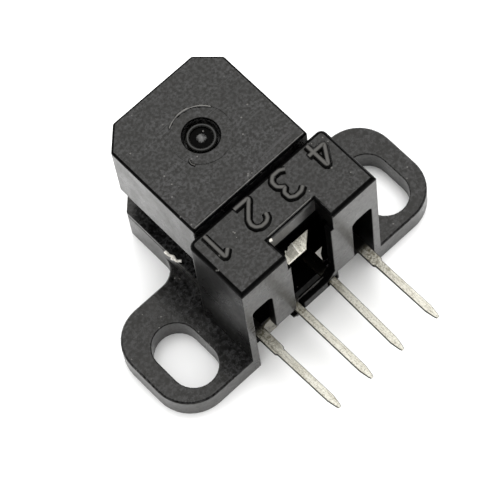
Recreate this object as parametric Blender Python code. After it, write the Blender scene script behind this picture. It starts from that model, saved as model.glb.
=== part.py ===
# Optical encoder module with two mounting ears, a slot for a code wheel and four terminals.
# Metres, +Z up. The origin is midway between the two mounting slots, on the base plane.
# X runs along the row of terminals, -Y is the side they leave by, +Y is the open end of the slot.

import math

import bmesh
import bpy
from mathutils import Vector


# Terminals
terminal_pitch = 0.00254
terminal_width = 0.0005
terminal_shoulder_width = 0.00068
terminal_shoulder_end = 0.0011
terminal_reach = 0.0058
terminal_tip_taper = 0.0008
terminal_rise = 0.001545
strip_thickness = 0.00025
finger_width = 0.00048

# How far the tip of each terminal is bent to the side, in order along X
terminal_lean = (0.00009, 0.00003, -0.00013, 0.00007)

# Mounting ears
slot_width = 0.0028
slot_length = 0.00435
slot_to_back = 0.00296
slot_to_block = 0.0011
ear_end_margin = 0.0026
ear_thickness = 0.00162
ear_depth = 0.00703
ear_corner_radius = 0.0024
ear_flank_radius = 0.0013
ear_edge_round = 0.00012

# Back block
terminal_side_room = 0.00033
block_side_wall = 0.00052
block_back_wall = 0.0005
block_front_wall = 0.00072
block_roof = 0.0013
block_depth = 0.00432
block_over_arm = 0.00005
block_upright_round = 0.0004
block_top_round = 0.00024

# Openings in the back of the block
end_window_width = 0.00145
end_window_drop = 0.00314
end_window_inner_round = 0.00045
end_window_outer_round = 0.0003
centre_window_room = 0.00041
centre_notch_step = 0.0002
centre_notch_depth = 0.0014
wall_over_terminal = 0.0004
sill_set_back = 0.00115
sill_depth = 0.00075
sill_under_terminal = 0.00055
web_under_terminal = 0.0003
web_over_terminal = 0.0003
web_thickness = 0.0004
web_corner = 0.0006

# The two arms on either side of the code wheel
arm_side_step = 0.000775
arm_length = 0.00798
arm_corner_cut = 0.00128
detector_arm_height = 0.00294
wheel_gap = 0.00312
emitter_arm_height = 0.00469
arm_wall = 0.0007
arm_floor = 0.00055
emitter_floor = 0.0007
emitter_roof = 0.0009
emitter_edge_round = 0.00014

# Fits
groove = 0.0003
seat_gap = 0.0003
inner_gap = 0.0001
bond_gap = 0.00006

# Collar of the emitter housing inside the block
collar_inset = 0.000325
collar_wall = 0.0004
collar_drop = 0.0004

# Ring and hole in the roof of the emitter housing
ring_radius = 0.00179
ring_groove_width = 0.00009
ring_groove_depth = 0.00008
hole_radius = 0.00105

# Emitter leads
link_lead_width = 0.0008
link_lead_inset = 0.00056
led_to_lead = 0.00035
cathode_shelf_rise = 0.00214
anode_shelf_drop = 0.0036
shelf_depth = 0.00075
cathode_shelf_right = 0.00098
cathode_mitre = 0.00084
anode_shelf_left = 0.00122

# Detector package and chip
package_wall = 0.0003
chip_headroom = 0.0004
chip_size = 0.0019
chip_thickness = 0.0002
die_pad_size = 0.0025
die_pad_to_finger = 0.0004

# Emitter package, chip and lens
emitter_package_width = 0.0048
emitter_package_length = 0.0042
emitter_pocket_width = 0.0030
led_size = 0.00035
led_thickness = 0.0002
lens_radius = 0.0018
lens_flange_radius = 0.0023
lens_flange_height = 0.0004
lens_crown = 0.0005
boss_radius = 0.00088
boss_rim = 0.00022
boss_chamfer = 0.00006
boss_sink = 0.0002
boss_dish_depth = 0.00016
boss_dome_radius = 0.0003
boss_dome_rise = 0.00013

# Detector window plate
plate_thickness = 0.0003
aperture_width = 0.0024
aperture_length = 0.0020

# Bond wires
chip_pad_pitch = 0.0004
wire_from_edge = 0.00012
wire_diameter = 0.00003
wire_rise = 0.00022

# Widths that follow from the terminals
block_side = terminal_side_room + block_side_wall
block_width = 3 * terminal_pitch + terminal_shoulder_width + 2 * block_side
arm_width = block_width - 2 * arm_side_step
slot_spacing = block_width + 2 * slot_to_block + slot_width
overall_half = slot_spacing / 2 + ear_end_margin
chamber_half = block_width / 2 - block_side_wall
package_half = arm_width / 2 - arm_wall - seat_gap
finger_pitch = (2 * (package_half - package_wall - inner_gap) - finger_width) / 5
terminal_row = [(i - 1.5) * terminal_pitch for i in range(4)]
finger_row = [(i - 2.5) * finger_pitch for i in range(6)]
centre_window_width = terminal_pitch + centre_window_room
collar_half = arm_width / 2 - collar_inset
link_lead_top_x = collar_half - collar_wall - link_lead_inset - link_lead_width / 2
anode_leg_x = terminal_row[3] - terminal_shoulder_width / 2 - inner_gap - link_lead_width / 2

# Places along Y, from the back face to the open end
back_y = -slot_to_back
chamber_back_y = back_y + block_back_wall
lead_drop_y = back_y + sill_set_back + sill_depth + seat_gap + strip_thickness / 2
collar_back_y = lead_drop_y + strip_thickness / 2 + seat_gap
block_front_y = back_y + block_depth
chamber_front_y = block_front_y - block_front_wall
arm_start_y = block_front_y + groove
arm_end_y = arm_start_y + arm_length
axis_y = (arm_start_y + arm_end_y) / 2
finger_end_y = axis_y - die_pad_size / 2 - die_pad_to_finger

# Heights, from the base plane up
rim_top = detector_arm_height - plate_thickness - inner_gap
package_top = rim_top - inner_gap
finger_top = package_top - package_wall - chip_headroom - chip_thickness - bond_gap
finger_middle = finger_top - strip_thickness / 2
block_floor = finger_middle - strip_thickness / 2 - seat_gap
terminal_top = finger_middle + terminal_rise
terminal_under = terminal_top - strip_thickness
sill_height = terminal_under - sill_under_terminal
web_bottom = terminal_under - web_under_terminal
web_top = terminal_top + web_over_terminal
gap_top = detector_arm_height + wheel_gap
emitter_top = gap_top + emitter_arm_height
block_height = emitter_top + block_over_arm
chamber_top = block_height - block_roof
collar_low = gap_top + collar_drop
collar_top = chamber_top - seat_gap
cathode_shelf_top = gap_top + cathode_shelf_rise
anode_shelf_top = cathode_shelf_top - anode_shelf_drop

black = ("black_plastic", (0.022, 0.022, 0.024), 0.5, 0.0)
plated = ("plated_lead", (0.55, 0.54, 0.48), 0.38, 1.0)
clear = ("clear_resin", (0.75, 0.72, 0.62), 0.12, 0.0)
silicon = ("silicon", (0.12, 0.13, 0.16), 0.25, 0.6)
gold = ("gold_wire", (0.85, 0.62, 0.25), 0.3, 1.0)

# The tip of a terminal: share of its taper, of its width and of its thickness
tip_shape = ((0, 0.35, 0.45), (0.25, 0.62, 0.75), (1, 1, 1))


def clear_scene():
    for item in list(bpy.data.objects):
        bpy.data.objects.remove(item, do_unlink=True)


def finish_of(name, kind):
    label, colour, roughness, metallic = kind
    material = bpy.data.materials.new(name + "_" + label)
    material.use_nodes = True
    shader = material.node_tree.nodes["Principled BSDF"]
    shader.inputs["Base Color"].default_value = (*colour, 1.0)
    shader.inputs["Roughness"].default_value = roughness
    shader.inputs["Metallic"].default_value = metallic
    return material


def to_object(name, bm, kind=None):
    bmesh.ops.recalc_face_normals(bm, faces=bm.faces)
    mesh = bpy.data.meshes.new(name)
    bm.to_mesh(mesh)
    bm.free()
    item = bpy.data.objects.new(name, mesh)
    bpy.context.scene.collection.objects.link(item)
    if kind:
        mesh.materials.append(finish_of(name, kind))
    return item


def prism(name, outline, low, high, kind=None):
    """A straight prism over an outline in the XY plane."""
    bm = bmesh.new()
    base = bm.faces.new([bm.verts.new((x, y, low)) for x, y in outline])
    grown = bmesh.ops.extrude_face_region(bm, geom=[base])
    moved = [part for part in grown["geom"] if isinstance(part, bmesh.types.BMVert)]
    bmesh.ops.translate(bm, verts=moved, vec=(0, 0, high - low))
    return to_object(name, bm, kind)


def block(name, x, y, z, kind=None):
    outline = [(x[0], y[0]), (x[1], y[0]), (x[1], y[1]), (x[0], y[1])]
    return prism(name, outline, z[0], z[1], kind)


def upright_panel(name, outline, y):
    """A cutter with its outline in the XZ plane, from y[0] to y[1]."""
    bm = bmesh.new()
    base = bm.faces.new([bm.verts.new((x, y[0], z)) for x, z in outline])
    grown = bmesh.ops.extrude_face_region(bm, geom=[base])
    moved = [part for part in grown["geom"] if isinstance(part, bmesh.types.BMVert)]
    bmesh.ops.translate(bm, verts=moved, vec=(0, y[1] - y[0], 0))
    return to_object(name, bm)


def turned(name, profile, centre, steps, kind=None):
    """A solid turned about an upright axis, from a profile of radius and height."""
    bm = bmesh.new()
    rings = []
    for radius, height in profile:
        if radius == 0:
            rings.append([bm.verts.new((centre[0], centre[1], height))])
            continue
        ring = []
        for i in range(steps):
            angle = 2 * math.pi * i / steps
            x = centre[0] + radius * math.cos(angle)
            y = centre[1] + radius * math.sin(angle)
            ring.append(bm.verts.new((x, y, height)))
        rings.append(ring)
    for lower, upper in zip(rings, rings[1:]):
        for i in range(steps):
            j = (i + 1) % steps
            if len(lower) == 1:
                bm.faces.new([lower[0], upper[i], upper[j]])
            elif len(upper) == 1:
                bm.faces.new([lower[i], lower[j], upper[0]])
            else:
                bm.faces.new([lower[i], lower[j], upper[j], upper[i]])
    for ring in (rings[0], rings[-1]):
        if len(ring) > 1:
            bm.faces.new(ring)
    return to_object(name, bm, kind)


def strip(name, stations, kind=None):
    """A flat metal strip through stations of x, y, z, width and thickness, wide along X."""
    bm = bmesh.new()
    rings = []
    count = len(stations)
    for i, (x, y, z, width, thickness) in enumerate(stations):
        before = Vector(stations[max(i - 1, 0)][1:3])
        here = Vector((y, z))
        after = Vector(stations[min(i + 1, count - 1)][1:3])
        way_in = (here - before).normalized() if i > 0 else (after - here).normalized()
        way_out = (after - here).normalized() if i < count - 1 else way_in
        along = (way_in + way_out).normalized()
        mitre = 1 / max(along.dot(way_in), 0.5)
        side = Vector((-along.y, along.x)) * (thickness / 2 * mitre)
        ring = []
        for across, up in ((-0.5, -1), (0.5, -1), (0.5, 1), (-0.5, 1)):
            ring.append(bm.verts.new((x + across * width, y + up * side.x, z + up * side.y)))
        rings.append(ring)
    for lower, upper in zip(rings, rings[1:]):
        for i in range(4):
            j = (i + 1) % 4
            bm.faces.new([lower[i], lower[j], upper[j], upper[i]])
    bm.faces.new(rings[0])
    bm.faces.new(rings[-1])
    return to_object(name, bm, kind)


def combine(item, other, operation):
    other.hide_render = True
    other.display_type = "WIRE"
    change = item.modifiers.new(operation.lower() + "_" + other.name, "BOOLEAN")
    change.operation = operation
    change.solver = "EXACT"
    change.object = other
    return item


def cut(item, other):
    return combine(item, other, "DIFFERENCE")


def join(item, other):
    return combine(item, other, "UNION")


def round_edges(item, width, segments, chosen):
    """Round the edges that the test chosen(start, end) picks, in the mesh itself."""
    bm = bmesh.new()
    bm.from_mesh(item.data)
    edges = [e for e in bm.edges if chosen(e.verts[0].co, e.verts[1].co)]
    bmesh.ops.bevel(bm, geom=edges, offset=width, segments=segments, affect="EDGES",
                    profile=0.5, clamp_overlap=True)
    bm.to_mesh(item.data)
    bm.free()
    return item


def arc(centre, radius, start, end, steps):
    """Points on an arc in degrees, both ends included."""
    points = []
    for i in range(steps + 1):
        angle = math.radians(start + (end - start) * i / steps)
        points.append((centre[0] + radius * math.cos(angle), centre[1] + radius * math.sin(angle)))
    return points


def mirrored(points):
    return [(-x, y) for x, y in reversed(points)]


def arm_outline(start_y, half, inset=0):
    """An arm seen from above, with its two far corners cut off. The inset moves its end in."""
    end_y = arm_end_y - inset
    corner = arm_corner_cut if inset == 0 else arm_corner_cut / 2
    return [(-half, start_y), (half, start_y), (half, end_y - corner), (half - corner, end_y),
            (-half + corner, end_y), (-half, end_y - corner)]


def ear_outline():
    """The base flange seen from above: two ears that run into the sides of the arm."""
    half = overall_half
    front_y = back_y + ear_depth
    r = ear_corner_radius
    arm_half = arm_width / 2
    f = ear_flank_radius
    right = arc((half - r, back_y + r), r, -90, 0, 10)
    right += arc((half - r, front_y - r), r, 0, 90, 10)
    right += arc((arm_half + f, front_y + f), f, -90, -180, 8)
    return right + mirrored(right)


def mounting_slot(side):
    """The open slot in one ear, long along Y."""
    radius = slot_width / 2
    reach = slot_length / 2 - radius
    centre_x = side * slot_spacing / 2
    outline = arc((centre_x, reach), radius, 0, 180, 14) + arc((centre_x, -reach), radius, 180, 360, 14)
    return prism("slot_cutter", outline, -ear_thickness, 2 * ear_thickness)


def end_window(side):
    """The tall window beside a leg, with rounded top corners."""
    outer = chamber_half
    inner = outer - end_window_width
    low = sill_height
    high = block_height - end_window_drop
    r = end_window_outer_round
    top = arc((outer - r, high - r), r, 0, 90, 5)
    r = end_window_inner_round
    top += arc((inner + r, high - r), r, 90, 180, 6)
    outline = [(side * x, z) for x, z in [(inner, low), (outer, low)] + top]
    return upright_panel("end_window_cutter", outline, (back_y - seat_gap, chamber_back_y + seat_gap))


def back_recess():
    """The step below the back walls, cut back to the sill between the two legs."""
    half = chamber_half
    centre = centre_window_width / 2
    high = terminal_top + wall_over_terminal
    outline = [(-half, -seat_gap), (half, -seat_gap), (half, high), (centre, high), (centre, web_bottom),
               (-centre, web_bottom), (-centre, high), (-half, high)]
    return upright_panel("recess_cutter", outline, (back_y - seat_gap, back_y + sill_set_back))


def centre_window():
    """The middle window above the web, with its lower right corner filled."""
    half = centre_window_width / 2
    c = web_corner
    slot = terminal_pitch / 2 - terminal_width / 2 - inner_gap
    outline = [(-half, terminal_under - inner_gap), (-slot, terminal_under - inner_gap), (-slot, web_top),
               (half - c, web_top), (half, web_top + c), (half, block_height + seat_gap),
               (-half, block_height + seat_gap)]
    return upright_panel("centre_window_cutter", outline, (back_y - seat_gap, chamber_back_y + seat_gap))


def terminal_hole():
    """The hole in the web that the third terminal leaves by."""
    middle = terminal_row[2]
    half = terminal_width / 2 + inner_gap
    low = terminal_under - inner_gap
    return block("terminal_hole_cutter", (middle - half, middle + half),
                 (back_y - seat_gap, back_y + sill_set_back), (low, terminal_top + inner_gap))


def mounting_frame():
    """Ears, lower arm and back block: one black moulding."""
    frame = prism("mounting_frame", ear_outline(), 0, ear_thickness, black)
    round_edges(frame, ear_edge_round, 2, lambda a, b: abs(a.z - b.z) < 1e-9 and a.z > ear_thickness / 2)

    arm = prism("lower_arm_body", arm_outline(block_front_y - seat_gap, arm_width / 2), 0, rim_top)
    join(frame, arm)

    body = block("back_block_body", (-block_width / 2, block_width / 2), (back_y, block_front_y),
                 (0, block_height))
    round_edges(body, block_upright_round, 4,
                lambda a, b: abs(a.z - b.z) > ear_thickness and a.y > back_y + block_depth / 2)
    round_edges(body, block_top_round, 3,
                lambda a, b: a.z > block_height - 1e-6 and b.z > block_height - 1e-6)
    join(frame, body)

    for side in (-1, 1):
        cut(frame, mounting_slot(side))

    chamber = block("chamber_cutter", (-chamber_half, chamber_half), (chamber_back_y, chamber_front_y),
                    (block_floor, chamber_top))
    cut(frame, chamber)

    pocket = prism("detector_pocket_cutter",
                   arm_outline(block_front_y + arm_wall, package_half + seat_gap, arm_wall),
                   arm_floor, detector_arm_height)
    cut(frame, pocket)
    passage_half = 2.5 * finger_pitch + finger_width / 2 + seat_gap
    passage = block("passage_cutter", (-passage_half, passage_half),
                    (chamber_front_y - seat_gap, block_front_y + arm_wall + seat_gap),
                    (block_floor, finger_top + seat_gap))
    cut(frame, passage)

    mouth = block("collar_mouth_cutter", (-collar_half - inner_gap, collar_half + inner_gap),
                  (chamber_front_y - seat_gap, block_front_y + seat_gap),
                  (collar_low - inner_gap, collar_top + inner_gap))
    cut(frame, mouth)

    cut(frame, end_window(-1))
    cut(frame, end_window(1))
    recess = back_recess()
    cut(frame, recess)
    sill_inside = back_y + sill_set_back + sill_depth
    over_sill = block("over_sill_cutter", (-chamber_half, chamber_half), (chamber_back_y, sill_inside),
                      (sill_height, chamber_top - seat_gap))
    cut(frame, over_sill)
    sill = block("sill_body", (-chamber_half - seat_gap, chamber_half + seat_gap),
                 (back_y + sill_set_back, sill_inside), (seat_gap, sill_height))
    join(frame, sill)
    cut(frame, centre_window())
    notch_half = centre_window_width / 2 + centre_notch_step
    notch = block("notch_cutter", (-notch_half, notch_half),
                  (back_y - seat_gap, back_y + centre_notch_depth),
                  (chamber_top - seat_gap, block_height + seat_gap))
    cut(frame, notch)
    web = upright_panel("web_body", web_outline(), (back_y, back_y + web_thickness))
    join(frame, web)
    cut(frame, terminal_hole())
    return frame


def web_outline():
    """The low web across the middle window, open over the second terminal."""
    half = centre_window_width / 2 + seat_gap
    c = web_corner + seat_gap
    low = web_bottom
    notch_floor = terminal_under - inner_gap
    notch_edge = terminal_pitch / 2 - terminal_width / 2 - inner_gap
    return [(-half, low), (half, low), (half, web_top + c), (half - c, web_top), (-notch_edge, web_top),
            (-notch_edge, notch_floor), (-half, notch_floor)]


def emitter_housing():
    """The upper arm: a black moulding with a collar that enters the block."""
    half = arm_width / 2
    housing = prism("emitter_housing", arm_outline(arm_start_y, half), gap_top, emitter_top, black)
    round_edges(housing, emitter_edge_round, 3,
                lambda a, b: abs(a.z - b.z) < 1e-9 and a.z > emitter_top - 1e-6)
    collar = block("collar_body", (-collar_half, collar_half), (collar_back_y, arm_start_y + seat_gap),
                   (collar_low, collar_top))
    join(housing, collar)
    pocket = prism("emitter_pocket_cutter", arm_outline(arm_start_y + arm_wall, half - arm_wall, arm_wall),
                   gap_top + emitter_floor, emitter_top - emitter_roof)
    cut(housing, pocket)
    bore_half = collar_half - collar_wall
    bore = block("collar_bore_cutter", (-bore_half, bore_half),
                 (collar_back_y - seat_gap, arm_start_y + 2 * arm_wall),
                 (collar_low + collar_wall, collar_top - collar_wall))
    cut(housing, bore)
    hole = turned("roof_hole_cutter", [(hole_radius, emitter_top - emitter_roof - seat_gap),
                                       (hole_radius, emitter_top + seat_gap)], (0, axis_y), 28)
    cut(housing, hole)
    lens_hole = turned("lens_hole_cutter", [(lens_radius + inner_gap, gap_top - seat_gap),
                                            (lens_radius + inner_gap, gap_top + emitter_floor + seat_gap)],
                       (0, axis_y), 28)
    cut(housing, lens_hole)
    outer = ring_radius + ring_groove_width / 2
    inner = ring_radius - ring_groove_width / 2
    floor = emitter_top - ring_groove_depth
    ring = turned("ring_cutter", [(outer, floor), (outer, emitter_top + seat_gap)], (0, axis_y), 40)
    core = turned("ring_core", [(inner, floor - seat_gap), (inner, emitter_top + 2 * seat_gap)],
                  (0, axis_y), 40)
    cut(ring, core)
    cut(housing, ring)
    return housing


def detector_window_plate():
    """The thin plate that closes the lower arm, with an aperture over the detector chip."""
    plate = prism("detector_window_plate", arm_outline(arm_start_y, arm_width / 2),
                  detector_arm_height - plate_thickness, detector_arm_height, black)
    aperture = block("aperture_cutter", (-aperture_width / 2, aperture_width / 2),
                     (axis_y - aperture_length / 2, axis_y + aperture_length / 2),
                     (detector_arm_height - 2 * plate_thickness, detector_arm_height + plate_thickness))
    cut(plate, aperture)
    return plate


def detector_package():
    """Clear moulding around the detector chip, hollow below so that each piece inside is its own."""
    half = package_half
    start_y = block_front_y + arm_wall + seat_gap
    low = arm_floor + inner_gap
    outline = arm_outline(start_y, half, arm_wall + seat_gap)
    package = prism("detector_package", outline, low, package_top, clear)
    hollow_end = arm_end_y - arm_wall - seat_gap - arm_corner_cut / 2 - package_wall
    hollow = block("package_hollow_cutter", (-half + package_wall, half - package_wall),
                   (start_y + package_wall, hollow_end), (low - seat_gap, package_top - package_wall))
    cut(package, hollow)
    slot = block("package_slot_cutter", (-half + package_wall, half - package_wall),
                 (start_y - seat_gap, start_y + 2 * package_wall), (low - seat_gap, finger_top + inner_gap))
    cut(package, slot)
    return package


def detector_chip():
    low = finger_top + bond_gap
    half = chip_size / 2
    return block("detector_chip", (-half, half), (axis_y - half, axis_y + half),
                 (low, low + chip_thickness), silicon)


def foot_stations(outer_x, inner_x, end_y):
    """The part of a lead from its bend inside the block to its end in the detector package."""
    bend_y = lead_drop_y
    z = finger_middle
    t = strip_thickness
    w = finger_width
    return [(outer_x, bend_y, z + 2 * t, w, t), (outer_x, bend_y + t, z, w, t),
            (inner_x, chamber_front_y - t, z, w, t), (inner_x, end_y, z, w, t)]


def terminal(name, index, finger_index, end_y):
    """One terminal: pin, shoulders, bend down inside the block and finger in the package."""
    x = terminal_row[index]
    z = terminal_top - strip_thickness / 2
    t = strip_thickness
    w = terminal_width
    tip = back_y - terminal_reach
    shoulder = back_y - terminal_shoulder_end if index in (0, 3) else back_y + web_thickness + inner_gap
    feet = foot_stations(x, finger_row[finger_index], end_y)
    bend_y = feet[0][1]
    stations = []
    for share, wide, thick in tip_shape:
        y = tip + share * terminal_tip_taper
        bend = terminal_lean[index] * (shoulder - y) / (shoulder - tip)
        stations.append((x + bend, y, z, wide * w, thick * t))
    stations += [(x, shoulder, z, w, t), (x, shoulder + t / 2, z, terminal_shoulder_width, t),
                 (x, bend_y - t, z, terminal_shoulder_width, t), (x, bend_y, z - t, w, t)]
    return strip(name, stations + feet, plated)


def terminals():
    ground = terminal("ground_terminal", 0, 0, axis_y)
    half = die_pad_size / 2
    low = finger_top - strip_thickness
    bar_end = finger_row[0] - finger_width / 2
    pad = block("die_pad_body", (-half, half), (axis_y - half, axis_y + half), (low, finger_top))
    tie = block("die_pad_tie_body", (bar_end, -half + inner_gap),
                (axis_y - finger_width, axis_y + finger_width / 2), (low, finger_top))
    join(ground, tie)
    join(ground, pad)
    terminal("channel_a_terminal", 1, 2, finger_end_y)
    terminal("supply_terminal", 2, 3, finger_end_y)
    terminal("channel_b_terminal", 3, 5, finger_end_y)


def emitter_leads():
    """The two strips that carry current from the lower package up to the emitter."""
    t = strip_thickness
    w = link_lead_width
    half = w / 2
    back_edge = chamber_back_y + inner_gap
    drop_edge = lead_drop_y + t / 2
    leg_x = -terminal_pitch

    feet = foot_stations(leg_x, finger_row[1], finger_end_y)
    low = feet[0][2] + 2 * t
    top = cathode_shelf_top
    stations = [(leg_x, lead_drop_y, top - t / 2, w, t), (leg_x, lead_drop_y, low, w, t)]
    cathode = strip("emitter_cathode_lead", stations + feet, plated)
    right = cathode_shelf_right
    bar_front = axis_y - led_to_lead
    bar_back = bar_front - half
    pad_front = axis_y + led_to_lead
    shelf = prism("cathode_shelf_body",
                  [(leg_x - half, back_edge), (right - cathode_mitre, back_edge),
                   (right, back_edge + shelf_depth), (leg_x + half, back_edge + shelf_depth),
                   (leg_x + half, bar_back), (led_to_lead, bar_back), (led_to_lead, pad_front),
                   (-led_to_lead, pad_front), (-led_to_lead, bar_front), (leg_x - half, bar_front)],
                  top - t, top)
    join(cathode, shelf)

    feet = foot_stations(anode_leg_x, finger_row[4], finger_end_y)
    stations = [(link_lead_top_x, axis_y - led_to_lead, top - t / 2, w, t),
                (link_lead_top_x, arm_start_y + 2 * arm_wall, top - t / 2, w, t),
                (anode_leg_x, arm_start_y + arm_wall, top - t / 2, w, t),
                (anode_leg_x, lead_drop_y + t, top - t / 2, w, t),
                (anode_leg_x, lead_drop_y, top - 1.5 * t, w, t), (anode_leg_x, lead_drop_y, low, w, t)]
    anode = strip("emitter_anode_lead", stations + feet, plated)
    shelf = block("anode_shelf_body", (anode_shelf_left, anode_leg_x + half), (back_edge, drop_edge),
                  (anode_shelf_top - t, anode_shelf_top))
    join(anode, shelf)


def emitter_package():
    """Clear moulding over the emitter, open below, with a boss that finds the hole in the roof."""
    half = emitter_package_width / 2
    length = emitter_package_length / 2
    low = gap_top + emitter_floor + inner_gap + lens_flange_height + inner_gap
    top = emitter_top - emitter_roof - inner_gap
    package = block("emitter_package", (-half, half), (axis_y - length, axis_y + length), (low, top), clear)
    boss_top = emitter_top - boss_sink
    dish = boss_top - boss_dish_depth
    rim = boss_radius - boss_rim
    boss = turned("boss_body", [(boss_radius, top - seat_gap), (boss_radius, boss_top - boss_chamfer),
                                (boss_radius - boss_chamfer, boss_top), (rim + boss_chamfer, boss_top),
                                (rim, boss_top - boss_chamfer), (rim, dish), (boss_dome_radius, dish),
                                (boss_dome_radius * 0.7, dish + boss_dome_rise * 0.7),
                                (0, dish + boss_dome_rise)], (0, axis_y), 24)
    join(package, boss)
    pocket_half = emitter_pocket_width / 2
    roof_z = cathode_shelf_top + inner_gap
    hollow = block("emitter_hollow_cutter", (-pocket_half, pocket_half),
                   (axis_y - pocket_half, axis_y + pocket_half), (low - seat_gap, roof_z))
    cut(package, hollow)
    lead_side = link_lead_top_x + link_lead_width
    slot = block("emitter_slot_cutter", (-lead_side, lead_side),
                 (axis_y - length - seat_gap, axis_y - bond_gap),
                 (cathode_shelf_top - strip_thickness - inner_gap, roof_z))
    cut(package, slot)
    return package


def collimating_lens():
    low = gap_top + emitter_floor + inner_gap
    profile = [(0, low - lens_crown)]
    steps = 6
    for i in range(1, steps + 1):
        angle = math.pi / 2 * i / steps
        profile.append((lens_radius * math.sin(angle), low - lens_crown * math.cos(angle)))
    profile += [(lens_flange_radius, low), (lens_flange_radius, low + lens_flange_height)]
    return turned("collimating_lens", profile, (0, axis_y), 36, clear)


def led_chip():
    top = cathode_shelf_top - strip_thickness - bond_gap
    half = led_size / 2
    return block("led_chip", (-half, half), (axis_y - half, axis_y + half),
                 (top - led_thickness, top), silicon)


def bond_wire(name, start, end, rise):
    """A fine wire that arches from one bond to the other."""
    steps = 10
    sides = 6
    bm = bmesh.new()
    start = Vector(start)
    end = Vector(end)
    across = Vector((end.y - start.y, start.x - end.x, 0)).normalized()
    rings = []
    for i in range(steps + 1):
        share = i / steps
        centre = start.lerp(end, share) + Vector((0, 0, rise * 4 * share * (1 - share)))
        slope = (end - start) + Vector((0, 0, rise * 4 * (1 - 2 * share)))
        up = across.cross(slope).normalized()
        ring = []
        for k in range(sides):
            angle = 2 * math.pi * k / sides
            offset = across * math.cos(angle) + up * math.sin(angle)
            ring.append(bm.verts.new(centre + offset * wire_diameter / 2))
        rings.append(ring)
    for lower, upper in zip(rings, rings[1:]):
        for k in range(sides):
            n = (k + 1) % sides
            bm.faces.new([lower[k], lower[n], upper[n], upper[k]])
    bm.faces.new(rings[0])
    bm.faces.new(rings[-1])
    return to_object(name, bm, gold)


def bond_wires():
    """Four wires from the chip to the fingers behind it, and one from the emitter chip."""
    chip_top = finger_top + bond_gap + chip_thickness + bond_gap
    chip_back = axis_y - chip_size / 2 + 2 * bond_gap
    finger_bond_y = finger_end_y - wire_from_edge
    for number, finger in enumerate((1, 2, 3, 4)):
        x = finger_row[finger]
        pad_x = (number - 1.5) * chip_pad_pitch
        bond_wire("bond_wire_%d" % (number + 1), (pad_x, chip_back, chip_top),
                  (x, finger_bond_y, finger_top + bond_gap), wire_rise)
    lead_low = cathode_shelf_top - strip_thickness - bond_gap
    led_low = lead_low - led_thickness - bond_gap
    lead_bond_x = link_lead_top_x - link_lead_width / 2 + wire_from_edge
    lead_bond_y = axis_y - led_to_lead - 2 * wire_from_edge
    bond_wire("led_bond_wire", (0, axis_y, led_low), (lead_bond_x, lead_bond_y, lead_low), -wire_rise)


clear_scene()
mounting_frame()
emitter_housing()
detector_window_plate()
detector_package()
detector_chip()
terminals()
emitter_leads()
emitter_package()
collimating_lens()
led_chip()
bond_wires()
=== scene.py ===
# Optical encoder module: black mouldings, flat terminals and the pieces inside, dressed for the render.
import math

import bmesh
import bpy
from mathutils import Matrix, Vector, noise


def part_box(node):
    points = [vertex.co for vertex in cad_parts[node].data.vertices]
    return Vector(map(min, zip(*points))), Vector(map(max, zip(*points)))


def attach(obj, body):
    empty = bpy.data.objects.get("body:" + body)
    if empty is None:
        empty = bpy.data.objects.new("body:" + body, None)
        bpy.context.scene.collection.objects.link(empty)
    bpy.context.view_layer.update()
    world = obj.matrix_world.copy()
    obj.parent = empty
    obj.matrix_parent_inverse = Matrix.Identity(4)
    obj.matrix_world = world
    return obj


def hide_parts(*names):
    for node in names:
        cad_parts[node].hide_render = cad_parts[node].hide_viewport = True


mm = 0.001
touch = 0.001 * mm  # places closer together than this count as one

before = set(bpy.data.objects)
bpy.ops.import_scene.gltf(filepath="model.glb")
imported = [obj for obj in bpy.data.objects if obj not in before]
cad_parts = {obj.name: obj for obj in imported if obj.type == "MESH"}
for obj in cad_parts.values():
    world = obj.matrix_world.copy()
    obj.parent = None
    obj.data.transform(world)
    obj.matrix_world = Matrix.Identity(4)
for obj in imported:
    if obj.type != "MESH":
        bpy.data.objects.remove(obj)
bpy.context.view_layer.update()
print("frame loaded")

blockLow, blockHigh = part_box("mounting_frame")
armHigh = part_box("emitter_housing")[1]
plateLow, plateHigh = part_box("detector_window_plate")
lensLow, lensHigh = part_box("collimating_lens")
chipLow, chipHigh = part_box("detector_chip")
lensAxis = (lensLow + lensHigh) / 2


# How far a place lies from the lens's upright axis, seen from above
def fromLensAxis(place):
    return (place.xy - lensAxis.xy).length


# The way to a place in the sky; azimuth 0 is over the terminals
def skyward(azimuth, elevation):
    turn = math.radians(azimuth)
    rise = math.radians(elevation)
    return Vector((math.sin(turn) * math.cos(rise), -math.cos(turn) * math.cos(rise), math.sin(rise)))


# Camera: where it stands around the part, as seen in the picture
viewOf = {
    "target": (-0.071 * mm, 2.727 * mm, 0.0),
    "distance": 156.07 * mm,
    "azimuth": -34.3,
    "elevation": 65.95,
    "roll": -9.66,
    "lens": 194.2,
    "sensorWidth": 36,
    "clipFrom": 0.001,
    "clipTo": 20,
}


def placeCamera():
    away = skyward(viewOf["azimuth"], viewOf["elevation"])
    data = bpy.data.cameras.new("viewCamera")
    data.sensor_width = viewOf["sensorWidth"]
    data.lens = viewOf["lens"]
    data.clip_start = viewOf["clipFrom"]
    data.clip_end = viewOf["clipTo"]
    camera = bpy.data.objects.new("viewCamera", data)
    bpy.context.scene.collection.objects.link(camera)
    turn = away.to_track_quat("Z", "Y").to_matrix().to_4x4()
    roll = Matrix.Rotation(math.radians(viewOf["roll"]), 4, "Z")
    place = Matrix.Translation(Vector(viewOf["target"]) + away * viewOf["distance"])
    camera.matrix_world = place @ turn @ roll
    bpy.context.scene.camera = camera


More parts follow.
